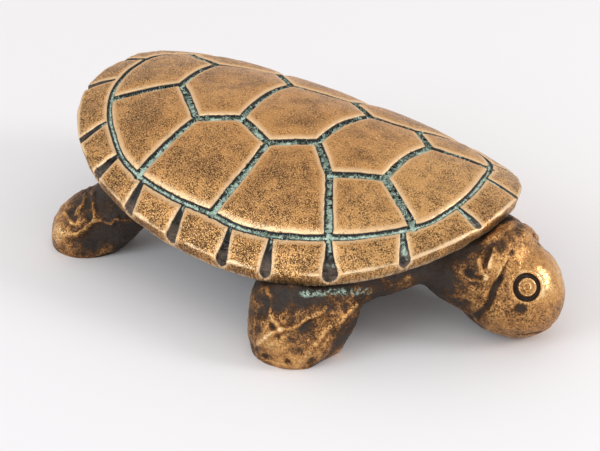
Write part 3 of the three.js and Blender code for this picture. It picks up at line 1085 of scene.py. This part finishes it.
# From the darkest hollows and painted shade to the most worn edges and painted highlights.
BODY_SHADES = (
    (0.0, (0.013, 0.010, 0.008)), (0.26, (0.034, 0.023, 0.017)), (0.42, (0.095, 0.052, 0.029)),
    (0.55, (0.27, 0.135, 0.056)), (0.69, (0.56, 0.28, 0.098)), (0.86, (0.76, 0.43, 0.16)),
    (1.0, (0.97, 0.66, 0.34)),
)


def body_bronze():
    f = Finish("body_bronze")
    coarse = f.grain(1.2, 4.0, 0.62)
    fine = f.grain(0.34, 3.0, 0.6)
    broad = f.grain(4.2, 3.0, 0.55)
    # The level holds wear, painted shade under the rim and painted highlights on the folds and head.
    level = f.plus(f.times(f.stored("wear_and_painted_light"), 0.27), 0.615)
    for noise, weight in ((coarse, 0.5), (fine, 0.8), (broad, 0.3)):
        level = f.plus(level, f.times(f.minus(noise, 0.5), weight))
    colour = f.shades(level, BODY_SHADES)
    polish_and_sheen = f.stored("polish_and_sheen")
    filed = f.stored("filed")
    pits = f.ramp(f.plus(f.grain(0.42, 3.0, 0.65), f.ramp(broad, 0.3, 0.7, -0.07, 0.06)), 0.54, 0.62)
    strength = f.ramp(f.larger(polish_and_sheen, filed), 0.0, 0.8, 0.8, 0.25)
    colour = f.blend(f.times(pits, strength), colour, PIT_AND_SHADE_BROWN)
    crust = f.times(f.stored("green"), f.ramp(f.grain(0.8, 3.0, 0.6), 0.46, 0.60))
    colour = f.blend(crust, colour, f.blend(f.ramp(fine, 0.42, 0.6), VERDIGRIS, PALE_VERDIGRIS))
    metallic = f.times(f.ramp(level, 0.22, 0.48, 0.15, 0.94), f.minus(1.0, crust))
    roughness = f.minus(f.ramp(level, 0.25, 0.8, 0.62, 0.3), f.times(polish_and_sheen, 0.1))
    calm = f.ramp(polish_and_sheen, 0.0, 1.0, 1.0, 0.25)
    file_marks = f.times(f.grain(1.0, 2.0, 0.5, f.stretched("strip", (0.25, 3.2, 1.0))), filed)
    normal = f.bumps(f.times(coarse, calm), 0.36)
    normal = f.bumps(f.times(f.minus(fine, pits), calm), 0.14, normal)
    normal = f.bumps(file_marks, 0.3, normal)
    return f.end(colour, metallic, roughness, normal)


def pale_floor():
    material = bpy.data.materials.new("pale_floor")
    material.use_nodes = True
    shader = material.node_tree.nodes["Principled BSDF"]
    shader.inputs["Base Color"].default_value = (*FLOOR_WHITE, 1)
    shader.inputs["Roughness"].default_value = FLOOR_ROUGHNESS
    return material


def add_floor():
    bm = bmesh.new()
    bmesh.ops.create_grid(bm, x_segments=1, y_segments=1, size=FLOOR_HALF_WIDTH)
    mesh = bpy.data.meshes.new("floor")
    bm.to_mesh(mesh)
    bm.free()
    floor = bpy.data.objects.new("floor", mesh)
    bpy.context.collection.objects.link(floor)
    mesh.materials.append(pale_floor())


def aim(thing, target):
    thing.rotation_euler = (Vector(target) - thing.location).to_track_quat("-Z", "Y").to_euler()


def add_camera():
    data = bpy.data.cameras.new("camera")
    data.sensor_width = SENSOR_WIDTH
    data.lens = FOCAL_PIXELS / PICTURE_WIDTH * data.sensor_width
    data.clip_start = 0.01
    data.clip_end = 20.0
    camera = bpy.data.objects.new("camera", data)
    azimuth, elevation = math.radians(CAMERA_AZIMUTH), math.radians(CAMERA_ELEVATION)
    back = Vector((math.sin(azimuth) * math.cos(elevation),
                   -math.cos(azimuth) * math.cos(elevation), math.sin(elevation)))
    target = Vector(CAMERA_AIM) * MM
    camera.location = target + back * CAMERA_DISTANCE * MM
    bpy.context.collection.objects.link(camera)
    aim(camera, target)
    bpy.context.scene.camera = camera


def add_lamp(name, spot, width, watts, tint):
    data = bpy.data.lights.new(name, "AREA")
    data.shape = "DISK"
    data.size = width
    data.energy = watts
    data.color = tint
    lamp = bpy.data.objects.new(name, data)
    lamp.location = spot
    bpy.context.collection.objects.link(lamp)
    aim(lamp, LAMP_AIM)


def add_light():
    world = bpy.data.worlds.new("studio")
    bpy.context.scene.world = world
    world.use_nodes = True
    sky = world.node_tree.nodes["Background"]
    sky.inputs["Color"].default_value = (*STUDIO_TINT, 1)
    sky.inputs["Strength"].default_value = STUDIO_STRENGTH
    for name, lamp in LAMPS.items():
        add_lamp(name, *lamp)
    bpy.context.scene.view_settings.view_transform = "Standard"


for build, finish, part in ((shell_casting, shell_bronze, "shell"), (body_casting, body_bronze, "body")):
    piece = build()
    piece.data.materials.append(finish())
    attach(piece, "root")
    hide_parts(part)
add_floor()
add_camera()
add_light()
